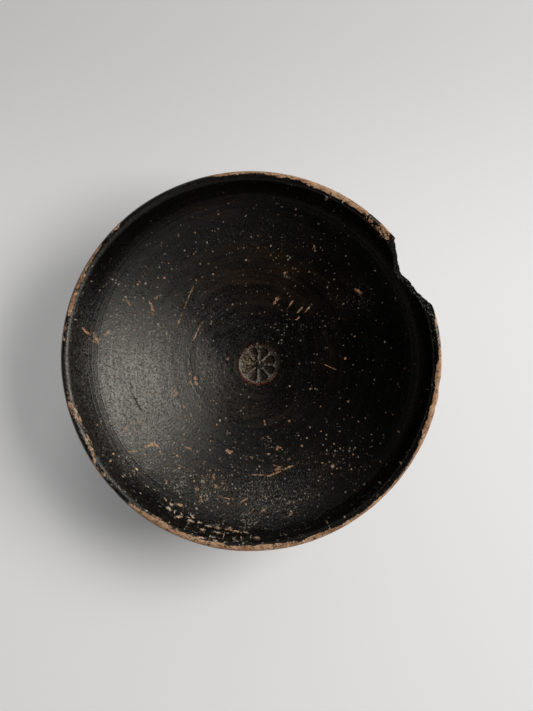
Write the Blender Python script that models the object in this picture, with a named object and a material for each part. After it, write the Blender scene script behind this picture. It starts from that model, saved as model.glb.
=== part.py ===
"""A shallow wheel-thrown drinking cup of black-gloss pottery, standing on a ring foot.

The cup is one fired clay solid: an open bowl with a lip marked off inside by a ledge, a ring foot
with a turned hollow under it, a stamped eight-petal rosette inside an incised circle on the floor,
and a piece broken out of the lip. Metres, +Z up, origin at the centre of the foot's underside.
Seen from above with +Y up the page, the break lies to the upper right.
"""

import math

import bmesh
import bpy
from mathutils import Vector

# Rim, and the number of straight sides that stand for each full round
RIM_RADIUS = 0.075
SEGMENTS = 88

# Lip
LIP_THICKNESS = 0.0036
LIP_HEIGHT = 0.0120
LIP_FLARE_INSIDE = 0.0037
LIP_FLARE_OUTSIDE = 0.0042
CREST_HEIGHT = 0.0024
LIP_BOW_INSIDE = 0.0003
LIP_BOW_OUTSIDE = 0.0004
LEDGE_DROP = 0.0010
LEDGE_SET = 0.0010

# Bowl
BOWL_DEPTH = 0.0210
BOWL_WALL = 0.0047
BOWL_SHOULDER = 0.0013
FLOOR_THICKNESS = 0.0066
FLOOR_OVER_FOOT = 0.0055

# Circle incised round the middle of the floor
CIRCLE_RADIUS = 0.0267
CIRCLE_WIDTH = 0.0009
CIRCLE_DEPTH = 0.0003

# Ring foot
FOOT_RADIUS = 0.0335
FOOT_HEIGHT = 0.0125
FOOT_BULGE = 0.0040
BULGE_TOP = 78.0
BULGE_BOTTOM = -48.0
NECK_GROOVE = 0.0018
REST_WIDTH = 0.0050
REST_EDGE = 0.0012
FOOT_INNER_SLANT = 0.0018
NIPPLE_RADIUS = 0.0028
NIPPLE_HEIGHT = 0.0008

# Stamped rosette, pressed a little off the middle
STAMP_RADIUS = 0.0082
STAMP_DEPTH = 0.0002
STAMP_OFFSET = (0.0023, -0.0006)
STAMP_TURN = 21.0
PETALS = 8
PETAL_DEPTH = 0.0006
PETAL_GAP = 0.0009
PETAL_INNER_RADIUS = 0.0022
PETAL_BORDER = 0.0009
PETAL_TAPER = 0.72
PETAL_POINTS = 12

# Break in the lip: the direction of its deepest point and its reach to each side in degrees, its
# depth under the crest, and the flat shoulder on its right side, counted in degrees from that end
BREAK_DIRECTION = 31.0
BREAK_TO_RIGHT = 15.5
BREAK_TO_LEFT = 11.5
BREAK_DEPTH = 0.0122
SHOULDER_START = 6.5
SHOULDER_LENGTH = 2.5
SHOULDER_DEPTH = 0.0090
BREAK_SLANT = 0.0016
BREAK_CLEARANCE = 0.004

# Finish
BLACK_GLOSS = (0.018, 0.016, 0.014, 1.0)
GLOSS_ROUGHNESS = 0.35
SHARP_ANGLE = 35.0


def axis_arc(start, end, steps):
    """Points of the circle that passes through start and end and has its centre on the cup's axis."""
    centre = (start[0] ** 2 + start[1] ** 2 - end[0] ** 2 - end[1] ** 2) / (2 * (start[1] - end[1]))
    radius = math.hypot(start[0], start[1] - centre)
    first = math.atan2(start[0], centre - start[1])
    last = math.atan2(end[0], centre - end[1])
    angles = [first + (last - first) * i / steps for i in range(steps + 1)]
    return [(radius * math.sin(a), centre - radius * math.cos(a)) for a in angles]


def ellipse_arc(centre, half_width, half_height, first, last, steps):
    """Points of an upright ellipse between two angles in degrees, 0 pointing outwards and 90 up."""
    angles = [math.radians(first + (last - first) * i / steps) for i in range(steps + 1)]
    return [(centre[0] + half_width * math.cos(a), centre[1] + half_height * math.sin(a)) for a in angles]


def bowed_line(start, end, bow, steps):
    """Points from start to end, pushed sideways by bow at the middle, to the left of the way along."""
    along = Vector((end[0] - start[0], end[1] - start[1]))
    side = Vector((-along.y, along.x)).normalized()
    points = []
    for i in range(steps + 1):
        share = i / steps
        push = bow * 4 * share * (1 - share)
        points.append((start[0] + along.x * share + side.x * push, start[1] + along.y * share + side.y * push))
    return points


# Heights and radii that follow from the sizes above
FLOOR_Z = FOOT_HEIGHT + FLOOR_OVER_FOOT
FLOOR_EDGE_Z = FLOOR_Z + BOWL_DEPTH
LEDGE_Z = FLOOR_EDGE_Z + LEDGE_DROP
CUP_HEIGHT = LEDGE_Z + LIP_HEIGHT
FOOT_NECK_RADIUS = FOOT_RADIUS - FOOT_BULGE
LIP_INNER_RADIUS = RIM_RADIUS - LIP_THICKNESS
LEDGE_RADIUS = LIP_INNER_RADIUS - LIP_FLARE_INSIDE
FLOOR_EDGE_RADIUS = LEDGE_RADIUS - LEDGE_SET
FLOOR_SPHERE = (FLOOR_EDGE_RADIUS**2 + BOWL_DEPTH**2) / (2 * BOWL_DEPTH)
LIP_ROOT = (RIM_RADIUS - LIP_FLARE_OUTSIDE, LEDGE_Z - LEDGE_DROP / 2)


def floor_height(radius):
    """Height of the bowl's inside surface at a distance from the axis."""
    return FLOOR_Z + FLOOR_SPHERE - math.sqrt(FLOOR_SPHERE**2 - radius**2)


def under_height(radius):
    """Height of the turned underside inside the foot, one floor thickness below the bowl's inside."""
    sphere = FLOOR_SPHERE + FLOOR_THICKNESS
    return FLOOR_Z + FLOOR_SPHERE - math.sqrt(sphere**2 - radius**2)


def inside_outline():
    """From the middle of the floor up to the inner edge of the crest."""
    groove_inner = CIRCLE_RADIUS - CIRCLE_WIDTH / 2
    groove_outer = CIRCLE_RADIUS + CIRCLE_WIDTH / 2
    middle = axis_arc((0, FLOOR_Z), (groove_inner, floor_height(groove_inner)), steps=4)
    groove = [(CIRCLE_RADIUS, floor_height(CIRCLE_RADIUS) - CIRCLE_DEPTH)]
    outer = axis_arc(
        (groove_outer, floor_height(groove_outer)), (FLOOR_EDGE_RADIUS, FLOOR_EDGE_Z), steps=9
    )
    crest_base = (LIP_INNER_RADIUS, CUP_HEIGHT - CREST_HEIGHT)
    lip = bowed_line((LEDGE_RADIUS, LEDGE_Z), crest_base, -LIP_BOW_INSIDE, steps=4)
    return middle + groove + outer + lip[:-1]


def crest_outline():
    """Over the rounded crest of the lip, from inside to outside."""
    centre = (RIM_RADIUS - LIP_THICKNESS / 2, CUP_HEIGHT - CREST_HEIGHT)
    return ellipse_arc(centre, LIP_THICKNESS / 2, CREST_HEIGHT, 180, 0, steps=6)


def outside_outline():
    """Down the flaring lip and the round bowl to the groove above the foot."""
    crest_base = (RIM_RADIUS, CUP_HEIGHT - CREST_HEIGHT)
    lip = bowed_line(crest_base, LIP_ROOT, -LIP_BOW_OUTSIDE, steps=3)
    bowl_top = (FLOOR_EDGE_RADIUS + BOWL_SHOULDER, FLOOR_EDGE_Z - BOWL_WALL)
    neck = (FOOT_NECK_RADIUS, FOOT_HEIGHT + NECK_GROOVE)
    return lip[1:] + axis_arc(bowl_top, neck, steps=8)


def foot_outline():
    """Round the foot's ring, across the face it rests on, and under the floor to the axis."""
    centre = (FOOT_NECK_RADIUS, FOOT_HEIGHT / 2)
    ring = ellipse_arc(centre, FOOT_BULGE, FOOT_HEIGHT / 2, BULGE_TOP, BULGE_BOTTOM, steps=5)
    rest_outer = FOOT_RADIUS - REST_EDGE
    rest_inner = rest_outer - REST_WIDTH
    rest = [(rest_outer, 0), (rest_inner, 0), (rest_inner - REST_EDGE / 2, REST_EDGE)]
    hollow_radius = rest_inner - REST_EDGE / 2 - FOOT_INNER_SLANT
    hollow_edge = (hollow_radius, under_height(hollow_radius))
    nipple_edge = (NIPPLE_RADIUS, under_height(NIPPLE_RADIUS))
    under = axis_arc(hollow_edge, nipple_edge, steps=4)
    nipple = [(0, under_height(0) - NIPPLE_HEIGHT)]
    return ring + rest + under + nipple


def new_object(name, mesh):
    """Puts a bmesh into the scene as a named object."""
    bmesh.ops.recalc_face_normals(mesh, faces=mesh.faces)
    data = bpy.data.meshes.new(name)
    mesh.to_mesh(data)
    mesh.free()
    made = bpy.data.objects.new(name, data)
    bpy.context.scene.collection.objects.link(made)
    return made


def turned_cup():
    """The whole cup before stamping and breaking, spun from its outline."""
    outline = inside_outline() + crest_outline() + outside_outline() + foot_outline()
    mesh = bmesh.new()
    points = [mesh.verts.new((r, 0, z)) for r, z in outline]
    edges = [mesh.edges.new(pair) for pair in zip(points, points[1:])]
    bmesh.ops.spin(
        mesh, geom=points + edges, cent=(0, 0, 0), axis=(0, 0, 1), angle=math.tau, steps=SEGMENTS
    )
    bmesh.ops.remove_doubles(mesh, verts=mesh.verts, dist=RIM_RADIUS * 1e-5)
    return new_object("kylix_cup", mesh)


def prism(mesh, bottom, top):
    """A closed solid between two loops of the same number of points."""
    low = [mesh.verts.new(p) for p in bottom]
    high = [mesh.verts.new(p) for p in top]
    mesh.faces.new(low[::-1])
    mesh.faces.new(high)
    for i in range(len(low)):
        j = (i + 1) % len(low)
        mesh.faces.new((low[i], low[j], high[j], high[i]))


def petal_loop(direction, scale, height):
    """One petal's outline: narrow towards the middle, round at its outer end."""
    outer = STAMP_RADIUS - PETAL_BORDER
    half_length = (outer - PETAL_INNER_RADIUS) / 2
    middle = PETAL_INNER_RADIUS + half_length
    loop = []
    for i in range(PETAL_POINTS):
        turn = math.tau * i / PETAL_POINTS
        along = middle + half_length * math.cos(turn) * scale
        room = along * math.sin(math.pi / PETALS) - PETAL_GAP / 2
        across = max(room, PETAL_GAP / 4) * math.sin(turn) * scale
        x = STAMP_OFFSET[0] + along * math.cos(direction) - across * math.sin(direction)
        y = STAMP_OFFSET[1] + along * math.sin(direction) + across * math.cos(direction)
        loop.append((x, y, height))
    return loop


def stamp_cutters():
    """The shallow disc of the stamp, and the petals pressed deeper inside it."""
    above = FLOOR_Z + STAMP_RADIUS
    disc = bmesh.new()
    turns = [math.tau * i / SEGMENTS for i in range(0, SEGMENTS, 2)]
    rings = []
    for radius, height in ((STAMP_RADIUS, FLOOR_Z - STAMP_DEPTH), (STAMP_RADIUS + STAMP_DEPTH, above)):
        ring = [
            (STAMP_OFFSET[0] + radius * math.cos(t), STAMP_OFFSET[1] + radius * math.sin(t), height)
            for t in turns
        ]
        rings.append(ring)
    prism(disc, *rings)

    petals = bmesh.new()
    for i in range(PETALS):
        direction = math.radians(STAMP_TURN + 360 * i / PETALS)
        pit = petal_loop(direction, PETAL_TAPER, FLOOR_Z - STAMP_DEPTH - PETAL_DEPTH)
        mouth = petal_loop(direction, 1.0, FLOOR_Z - STAMP_DEPTH + PETAL_DEPTH / 8)
        prism(petals, pit, mouth)
    return [new_object("stamp_disc_cutter", disc), new_object("stamp_petal_cutter", petals)]


def break_stations():
    """Direction in degrees and depth under the crest along the break, from its right end to its left."""
    right = BREAK_DIRECTION - BREAK_TO_RIGHT
    return [
        (right, 0),
        (right + SHOULDER_START, SHOULDER_DEPTH),
        (right + SHOULDER_START + SHOULDER_LENGTH, SHOULDER_DEPTH),
        (BREAK_DIRECTION, BREAK_DEPTH),
        (BREAK_DIRECTION + BREAK_TO_LEFT, 0),
    ]


def break_cutter():
    """The piece of lip that is missing, with the broken face falling towards the outside."""
    inner = LEDGE_RADIUS - BREAK_CLEARANCE
    outer = RIM_RADIUS + BREAK_CLEARANCE
    above = CUP_HEIGHT + BREAK_CLEARANCE
    stations = break_stations()
    loops = []
    for radius, fall in ((inner, -BREAK_SLANT), (outer, BREAK_SLANT)):
        edge = [(degrees, CUP_HEIGHT - depth - fall) for degrees, depth in stations]
        edge += [(stations[-1][0], above), (stations[0][0], above)]
        turns = [(math.radians(degrees), height) for degrees, height in edge]
        loops.append([(radius * math.cos(turn), radius * math.sin(turn), height) for turn, height in turns])
    mesh = bmesh.new()
    prism(mesh, *loops)
    return new_object("lip_break_cutter", mesh)


def cut(target, cutter):
    """Takes the cutter's shape out of the target, and keeps the cutter out of the model."""
    cutter.hide_render = True
    cutter.display_type = "WIRE"
    modifier = target.modifiers.new(cutter.name, "BOOLEAN")
    modifier.operation = "DIFFERENCE"
    modifier.object = cutter


def gloss_material():
    """The fired black gloss that covers the cup."""
    material = bpy.data.materials.new("black_gloss")
    material.use_nodes = True
    shader = material.node_tree.nodes["Principled BSDF"]
    shader.inputs["Base Color"].default_value = BLACK_GLOSS
    shader.inputs["Roughness"].default_value = GLOSS_ROUGHNESS
    shader.inputs["Metallic"].default_value = 0.0
    return material


def main():
    for old in list(bpy.data.objects):
        bpy.data.objects.remove(old)
    cup = turned_cup()
    cup.data.materials.append(gloss_material())
    for cutter in stamp_cutters() + [break_cutter()]:
        cut(cup, cutter)
    cup.data.shade_smooth()
    cup.data.set_sharp_from_angle(angle=math.radians(SHARP_ANGLE))


main()
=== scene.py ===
# A black-gloss pottery cup with a broken lip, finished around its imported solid
import math

import bpy
import numpy as np
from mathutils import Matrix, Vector, noise


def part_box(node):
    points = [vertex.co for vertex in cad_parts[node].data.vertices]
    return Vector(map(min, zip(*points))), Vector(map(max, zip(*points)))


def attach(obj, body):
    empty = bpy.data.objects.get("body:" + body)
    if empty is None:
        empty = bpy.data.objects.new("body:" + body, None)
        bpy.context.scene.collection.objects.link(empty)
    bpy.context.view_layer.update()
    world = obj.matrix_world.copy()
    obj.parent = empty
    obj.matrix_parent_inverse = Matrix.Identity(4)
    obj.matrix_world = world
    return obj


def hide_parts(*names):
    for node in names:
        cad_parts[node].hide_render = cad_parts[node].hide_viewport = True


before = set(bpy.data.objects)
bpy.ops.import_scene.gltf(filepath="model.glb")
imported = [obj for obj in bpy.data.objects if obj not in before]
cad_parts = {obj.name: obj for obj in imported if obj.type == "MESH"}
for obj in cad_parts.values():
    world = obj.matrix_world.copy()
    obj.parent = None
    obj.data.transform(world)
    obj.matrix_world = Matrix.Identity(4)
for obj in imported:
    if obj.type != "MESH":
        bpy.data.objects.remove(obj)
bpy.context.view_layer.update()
mm = 0.001
nodeLow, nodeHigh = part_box("kylix_cup")

# The turned cup: sizes in metres, radii from its axis, heights from the surface it stands on
cup = {
    "rimRadius": (nodeHigh.x - nodeLow.x) / 2,
    "height": nodeHigh.z,
    "lipThickness": 3.6 * mm,
    "lipHeight": 12.0 * mm,
    "lipFlareInside": 3.7 * mm,
    "lipFlareOutside": 4.2 * mm,
    "lipBowInside": 0.8 * mm,
    "lipBowOutside": 0.4 * mm,
    "crestHeight": 2.4 * mm,
    "crestInside": 2.7 * mm,     # the top of the lip rounds off broadly inwards
    "crestOutside": 1.3 * mm,
    "ledgeDrop": 1.0 * mm,
    "ledgeSet": 1.0 * mm,
    "bowlDepth": 21.0 * mm,
    "bowlWall": 4.7 * mm,
    "bowlShoulder": 1.3 * mm,
    "floorThickness": 6.6 * mm,
    "floorDip": 0.8 * mm,        # the floor sinks this much under its sphere near the edge
    "dipStart": 45 * mm,
    "dipPeak": 9.48,             # brings the dip's curve to 1 where it is deepest
    "floorLift": 3.8 * mm,       # and turns up into the lip over this width
    "floorKink": 0.15 * mm,      # a step that the potter's rib left in the slope
    "kinkRadius": 38.5 * mm,
    "kinkReach": 8.0 * mm,
    "footRadius": 33.5 * mm,
    "footHeight": 12.5 * mm,
    "footBulge": 4.0 * mm,
    "bulgeTop": 78,              # degrees round the foot's bulge, 0 pointing outwards
    "bulgeBottom": -48,
    "neckGroove": 1.8 * mm,
    "restWidth": 5.0 * mm,
    "restEdge": 1.2 * mm,
    "hollowSlant": 1.8 * mm,
    "nippleRadius": 2.8 * mm,
    "nippleHeight": 0.8 * mm,
    "turns": 300,                # steps round the wheel
    "cornerRadius": 0.35 * mm,
    "sharpCorner": 25,           # degrees; a sharper turn of the outline is rounded
    "smoothUnder": 38,           # degrees; a sharper edge stays sharp in the shading
}
ledgeZ = cup["height"] - cup["lipHeight"]
floorEdgeZ = ledgeZ - cup["ledgeDrop"]
floorZ = floorEdgeZ - cup["bowlDepth"]
crestBaseZ = cup["height"] - cup["crestHeight"]
lipInnerRadius = cup["rimRadius"] - cup["lipThickness"]
ledgeRadius = lipInnerRadius - cup["lipFlareInside"]
floorEdgeRadius = ledgeRadius - cup["ledgeSet"]
floorSphere = (floorEdgeRadius**2 + cup["bowlDepth"] ** 2) / (2 * cup["bowlDepth"])
neckRadius = cup["footRadius"] - cup["footBulge"]

# Stamp and incised circle in the floor
stamp = {
    "centre": (2.7 * mm, -1.2 * mm),
    "radius": 7.9 * mm,
    "petals": 8,
    "turn": 21.0,                # degrees to the first petal
    "reach": 11.0 * mm,          # the rings are fine out to here
    "blend": 21.0 * mm,          # and are centred on the cup's axis again from here
    "petalIn": 1.9 * mm,
    "petalOut": 7.5 * mm,
    "ribWidth": 0.6 * mm,
    "petalDepth": 0.8 * mm,
    "discDepth": 0.25 * mm,
    "burrHeight": 0.12 * mm,
    "burrWidth": 0.5 * mm,
    "redArcs": ((262, 42, 0.9), (318, 22, 0.45), (218, 18, 0.5), (132, 26, 0.35), (180, 14, 0.3)),
    "circleRadius": 26.7 * mm,
    "circleWidth": 0.32 * mm,
    "circleDepth": 0.05 * mm,
}


def sphereHeight(radius, extra=0):
    under = (floorSphere + extra) ** 2 - radius**2
    return floorZ + floorSphere - np.sqrt(np.maximum(under, 0))


def floorHeight(radius):
    share = max(0, radius - cup["dipStart"]) / (ledgeRadius - cup["dipStart"])
    dip = cup["floorDip"] * cup["dipPeak"] * share**3 * (1 - share)
    lift = max(0, radius - ledgeRadius + cup["floorLift"]) / cup["floorLift"]
    kink = cup["floorKink"] * math.exp(-abs(radius - cup["kinkRadius"]) / cup["kinkReach"])
    kink *= min(1, max(0, radius - stamp["blend"]) / (8 * mm))
    return sphereHeight(radius) - dip - kink + (ledgeZ - sphereHeight(ledgeRadius)) * lift**2


def underHeight(radius):         # the turned hollow inside the foot
    return sphereHeight(radius, cup["floorThickness"])


# Points of the circle through start and end that is centred on the axis
def arcOnAxis(start, end, spacing):
    squares = start[0] ** 2 + start[1] ** 2 - end[0] ** 2 - end[1] ** 2
    centre = squares / (2 * (start[1] - end[1]))
    radius = math.hypot(start[0], start[1] - centre)
    first = math.atan2(start[0], centre - start[1])
    last = math.atan2(end[0], centre - end[1])
    steps = max(2, round(abs(last - first) * radius / spacing))
    angles = [first + (last - first) * i / steps for i in range(steps + 1)]
    return [(radius * math.sin(a), centre - radius * math.cos(a)) for a in angles]


def ellipseArc(centre, halfWidth, halfHeight, first, last, spacing):
    steps = round(abs(math.radians(last - first)) * (halfWidth + halfHeight) / 2 / spacing)
    angles = [math.radians(first + (last - first) * i / steps) for i in range(steps + 1)]
    x, z = centre
    return [(x + halfWidth * math.cos(a), z + halfHeight * math.sin(a)) for a in angles]


# Points from start to end, pushed to the left of the way by bow at the middle
def bowedLine(start, end, bow, spacing):
    along = Vector((end[0] - start[0], end[1] - start[1]))
    side = Vector((-along.y, along.x)).normalized()
    steps = max(1, round(along.length / spacing))
    points = []
    for i in range(steps + 1):
        share = i / steps
        push = side * bow * 4 * share * (1 - share)
        points.append((start[0] + along.x * share + push.x, start[1] + along.y * share + push.y))
    return points


def floorRadii():                # rings lie close at the stamp and at the incised circle
    radii = [0.0]
    while radii[-1] < ledgeRadius - 0.5 * mm:
        here = radii[-1]
        spacing = 1.3 * mm
        if here < stamp["reach"]:
            spacing = 0.3 * mm
        elif abs(here - stamp["circleRadius"]) < 1.2 * mm:
            spacing = 0.2 * mm
        radii.append(here + spacing)
    return radii[:-1] + [ledgeRadius]


def softenCorners(points):
    soft = [points[0]]
    for before, corner, after in zip(points, points[1:], points[2:]):
        a, b, c = Vector(before), Vector(corner), Vector(after)
        if (b - a).angle(c - b) < math.radians(cup["sharpCorner"]):
            soft.append(corner)
            continue
        start = b + (a - b).normalized() * min(cup["cornerRadius"], (a - b).length / 2)
        end = b + (c - b).normalized() * min(cup["cornerRadius"], (c - b).length / 2)
        for share in (0, 1 / 3, 2 / 3, 1):
            soft.append(tuple(start.lerp(b, share).lerp(b.lerp(end, share), share)))
    return soft + [points[-1]]


def cupOutline():
    floor = [(r, floorHeight(r)) for r in floorRadii()]
    crestCentre = (cup["rimRadius"] - cup["crestOutside"], crestBaseZ)
    wallTop = (crestCentre[0] - cup["crestInside"], crestBaseZ)
    lipIn = bowedLine((ledgeRadius, ledgeZ), wallTop, -cup["lipBowInside"], 1.0 * mm)
    crest = ellipseArc(crestCentre, cup["crestInside"], cup["crestHeight"], 180, 90, 0.6 * mm)
    crest += ellipseArc(crestCentre, cup["crestOutside"], cup["crestHeight"], 90, 0, 0.5 * mm)[1:]
    lipRoot = (cup["rimRadius"] - cup["lipFlareOutside"], ledgeZ - cup["ledgeDrop"] / 2)
    lipOut = bowedLine((cup["rimRadius"], crestBaseZ), lipRoot, -cup["lipBowOutside"], 1.0 * mm)
    bowlTop = (floorEdgeRadius + cup["bowlShoulder"], floorEdgeZ - cup["bowlWall"])
    shoulder = bowedLine(lipRoot, bowlTop, 0, 1.0 * mm)
    bowl = arcOnAxis(bowlTop, (neckRadius, cup["footHeight"] + cup["neckGroove"]), 1.5 * mm)
    bulge = (neckRadius, cup["footHeight"] / 2)
    ring = ellipseArc(
        bulge, cup["footBulge"], cup["footHeight"] / 2, cup["bulgeTop"], cup["bulgeBottom"], 0.8 * mm
    )
    restOuter = cup["footRadius"] - cup["restEdge"]
    restInner = restOuter - cup["restWidth"]
    rest = bowedLine((restOuter, 0), (restInner, 0), 0, 1.3 * mm)
    hollowStart = (restInner - cup["restEdge"] / 2, cup["restEdge"])
    hollowRadius = hollowStart[0] - cup["hollowSlant"]
    hollow = bowedLine(hollowStart, (hollowRadius, underHeight(hollowRadius)), 0, 1.6 * mm)
    under = arcOnAxis(hollow[-1], (cup["nippleRadius"], underHeight(cup["nippleRadius"])), 1.8 * mm)
    nipple = ellipseArc(
        (0, under[-1][1]), cup["nippleRadius"], -cup["nippleHeight"], 0, 90, 0.5 * mm
    )
    outline = floor + lipIn[1:] + crest[1:] + lipOut[1:] + shoulder[1:] + bowl[1:]
    return softenCorners(outline + ring + rest + hollow + under[1:] + nipple[1:])


def selectOnly(piece):
    bpy.ops.object.select_all(action="DESELECT")
    piece.select_set(True)
    bpy.context.view_layer.objects.active = piece


def selectFaces(piece, wanted):
    bpy.ops.object.mode_set(mode="EDIT")
    bpy.ops.mesh.select_mode(type="FACE")
    bpy.ops.mesh.select_all(action="DESELECT")
    bpy.ops.object.mode_set(mode="OBJECT")
    piece.data.polygons.foreach_set("select", wanted)
    bpy.ops.object.mode_set(mode="EDIT")


def faceCentres(piece):
    centres = np.empty(len(piece.data.polygons) * 3, np.float32)
    piece.data.polygons.foreach_get("center", centres)
    return centres.reshape(-1, 3)


def readPoints(piece):
    points = np.empty(len(piece.data.vertices) * 3, np.float32)
    piece.data.vertices.foreach_get("co", points)
    return points.reshape(-1, 3).astype(float)


def writePoints(piece, points):
    piece.data.vertices.foreach_set("co", points.astype(np.float32).ravel())
    piece.data.update()


# A single vertex is pulled along the outline, and the line is spun round the axis
def throwCup(outline):
    bpy.ops.object.select_all(action="DESELECT")
    bpy.ops.mesh.primitive_plane_add(size=mm)
    piece = bpy.context.object
    piece.name = piece.data.name = "glossCup"
    bpy.ops.object.mode_set(mode="EDIT")
    bpy.ops.mesh.merge(type="CENTER")
    bpy.ops.transform.translate(value=(outline[0][0], 0, outline[0][1]))
    for here, there in zip(outline, outline[1:]):
        step = (there[0] - here[0], 0, there[1] - here[1])
        bpy.ops.mesh.extrude_region_move(TRANSFORM_OT_translate={"value": step})
    bpy.ops.mesh.select_all(action="SELECT")
    bpy.ops.mesh.spin(steps=cup["turns"], angle=math.tau, center=(0, 0, 0), axis=(0, 0, 1))
    bpy.ops.mesh.select_all(action="SELECT")
    bpy.ops.mesh.remove_doubles(threshold=0.001 * mm)
    bpy.ops.mesh.normals_make_consistent(inside=False)
    bpy.ops.object.mode_set(mode="OBJECT")
    centres = faceCentres(piece)
    fromAxis = np.hypot(centres[:, 0], centres[:, 1])
    selectFaces(piece, (fromAxis > ledgeRadius) & (centres[:, 2] > ledgeZ + 1.0 * mm))
    bpy.ops.mesh.subdivide(number_cuts=1)
    bpy.ops.object.mode_set(mode="OBJECT")
    return piece


# The break in the lip: degrees round from +X, millimetres under the crest, and fall across the wall
lipBreak = {
    "edge": (
        (10.5, -1.5, 0.0), (12.0, -0.3, 0.3), (13.5, 0.2, 0.4), (15.0, 0.6, 0.6), (16.5, 1.1, 0.9),
        (18.0, 2.9, 1.0), (19.5, 4.2, 1.0), (21.0, 5.4, 1.0), (22.5, 8.4, 1.1), (24.0, 8.5, 1.0),
        (25.5, 9.5, 1.1), (27.0, 10.7, 1.2), (28.5, 11.7, 1.2), (30.0, 12.9, 1.2), (31.5, 12.9, 1.1),
        (33.0, 11.1, 1.0), (34.5, 9.2, 1.0), (36.0, 6.8, 0.9), (37.5, 5.4, 0.8), (39.0, 3.8, 0.6),
        (40.2, 2.2, 0.2), (41.5, 1.2, -0.6), (43.0, 0.9, -1.0), (49.0, 0.8, -1.2), (51.4, 0.6, -1.0),
        (52.4, -0.2, -0.6), (53.4, -1.5, 0.0),
    ),
    "first": 10.0,
    "last": 54.0,
    "inner": 62 * mm,
    "outer": 79 * mm,
    "above": 58 * mm,
    "stepsRound": 130,
    "stepsAcross": 40,
    "stepSize": 2.4 * mm,        # size and height of the steps in the broken face
    "stepHeight": 0.95 * mm,
    "grainSize": 0.9 * mm,
    "grainHeight": 0.62 * mm,
}


def brokenHeight(x, y, degrees, radius):
    angles, depths, falls = (np.array(column) for column in zip(*lipBreak["edge"]))
    depth = np.interp(degrees, angles, depths) * mm
    fall = np.interp(degrees, angles, falls) * mm
    middle = (lipInnerRadius + ledgeRadius + cup["lipThickness"]) / 2
    across = (radius - middle) / cup["lipThickness"]
    place = Vector((x, y, 0))
    steps = noise.noise(place / lipBreak["stepSize"]) * lipBreak["stepHeight"]
    grain = noise.turbulence(place / lipBreak["grainSize"], 3, False) * lipBreak["grainHeight"]
    return cup["height"] - depth - fall * across + steps * min(1, max(0, depth / mm)) + grain


# A grid laid along the broken face and raised above the lip takes the missing piece away
def breakCutter():
    bpy.ops.object.select_all(action="DESELECT")
    bpy.ops.mesh.primitive_grid_add(
        x_subdivisions=lipBreak["stepsRound"], y_subdivisions=lipBreak["stepsAcross"], size=1
    )
    cutter = bpy.context.object
    cutter.name = "lipBreakCutter"
    cutter.data.materials.append(breakSlot)
    for vertex in cutter.data.vertices:
        share = vertex.co.x + 0.5
        degrees = lipBreak["first"] + (lipBreak["last"] - lipBreak["first"]) * share
        radius = lipBreak["inner"] + (lipBreak["outer"] - lipBreak["inner"]) * (vertex.co.y + 0.5)
        x = radius * math.cos(math.radians(degrees))
        y = radius * math.sin(math.radians(degrees))
        vertex.co = (x, y, brokenHeight(x, y, degrees, radius))
    bpy.ops.object.mode_set(mode="EDIT")
    bpy.ops.mesh.select_all(action="SELECT")
    bpy.ops.mesh.extrude_region_move(TRANSFORM_OT_translate={"value": (0, 0, lipBreak["above"])})
    bpy.ops.mesh.select_all(action="SELECT")
    bpy.ops.mesh.normals_make_consistent(inside=False)
    bpy.ops.object.mode_set(mode="OBJECT")
    return cutter


# Small chips struck off the outer edge of the lip: degrees round, length and depth in millimetres
chips = {
    "places": (
        (352.0, 9.0, 0.9), (346.0, 5.0, 0.6), (224.0, 5.5, 0.6), (206.0, 4.0, 0.5), (121.0, 3.0, 0.35),
        (51.2, 2.4, 0.5),
    ),
    "width": 1.9 * mm,
    "under": 1.8 * mm,           # below the top of the lip
    "lean": 28,                  # degrees up from level
    "roughness": 0.16,
}


def chipCutter():
    made = []
    for i, (degrees, length, depth) in enumerate(chips["places"]):
        bpy.ops.object.select_all(action="DESELECT")
        bpy.ops.mesh.primitive_ico_sphere_add(subdivisions=4, radius=1)
        chip = bpy.context.object
        for vertex in chip.data.vertices:
            rough = noise.noise(vertex.co * 2.2 + Vector((i * 7.3, 0, 0))) * chips["roughness"]
            vertex.co *= 1 + rough
        away = chips["width"] - depth * mm
        turn, lean = math.radians(degrees), math.radians(chips["lean"])
        across = cup["rimRadius"] + math.cos(lean) * away
        height = cup["height"] - chips["under"] + math.sin(lean) * away
        chip.scale = (chips["width"], length * mm / 2, chips["width"])
        chip.rotation_euler = (0, -lean, turn)
        chip.location = (across * math.cos(turn), across * math.sin(turn), height)
        bpy.ops.object.transform_apply(location=True, rotation=True, scale=True)
        made.append(chip)
    for chip in made:
        chip.select_set(True)
    bpy.context.view_layer.objects.active = made[0]
    bpy.ops.object.join()
    cutter = bpy.context.object
    cutter.data.materials.append(chipSlot)
    return cutter


def takeAway(piece, cutter):
    selectOnly(piece)
    modifier = piece.modifiers.new("cut", "BOOLEAN")
    modifier.operation = "DIFFERENCE"
    modifier.object = cutter
    modifier.material_mode = "TRANSFER"
    bpy.ops.object.modifier_apply(modifier=modifier.name)
    bpy.data.objects.remove(cutter)


# For every point: how far along the outline it lies, and how far off it
def measureAlong(points, outline):
    line = np.array(outline)
    starts, runs = line[:-1], line[1:] - line[:-1]
    lengths = np.hypot(runs[:, 0], runs[:, 1])
    before = np.concatenate([[0], np.cumsum(lengths)[:-1]])
    flat = np.stack([np.hypot(points[:, 0], points[:, 1]), points[:, 2]], axis=1)
    along, off = np.empty(len(flat)), np.empty(len(flat))
    for first in range(0, len(flat), 4000):
        part = flat[first : first + 4000]
        offset = part[:, None, :] - starts[None]
        share = np.clip((offset * runs).sum(2) / lengths**2, 0, 1)
        gap = np.linalg.norm(offset - share[..., None] * runs, axis=2)
        nearest = gap.argmin(1)
        rows = np.arange(len(part))
        along[first : first + 4000] = before[nearest] + share[rows, nearest] * lengths[nearest]
        off[first : first + 4000] = gap[rows, nearest]
    return along, off


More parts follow.
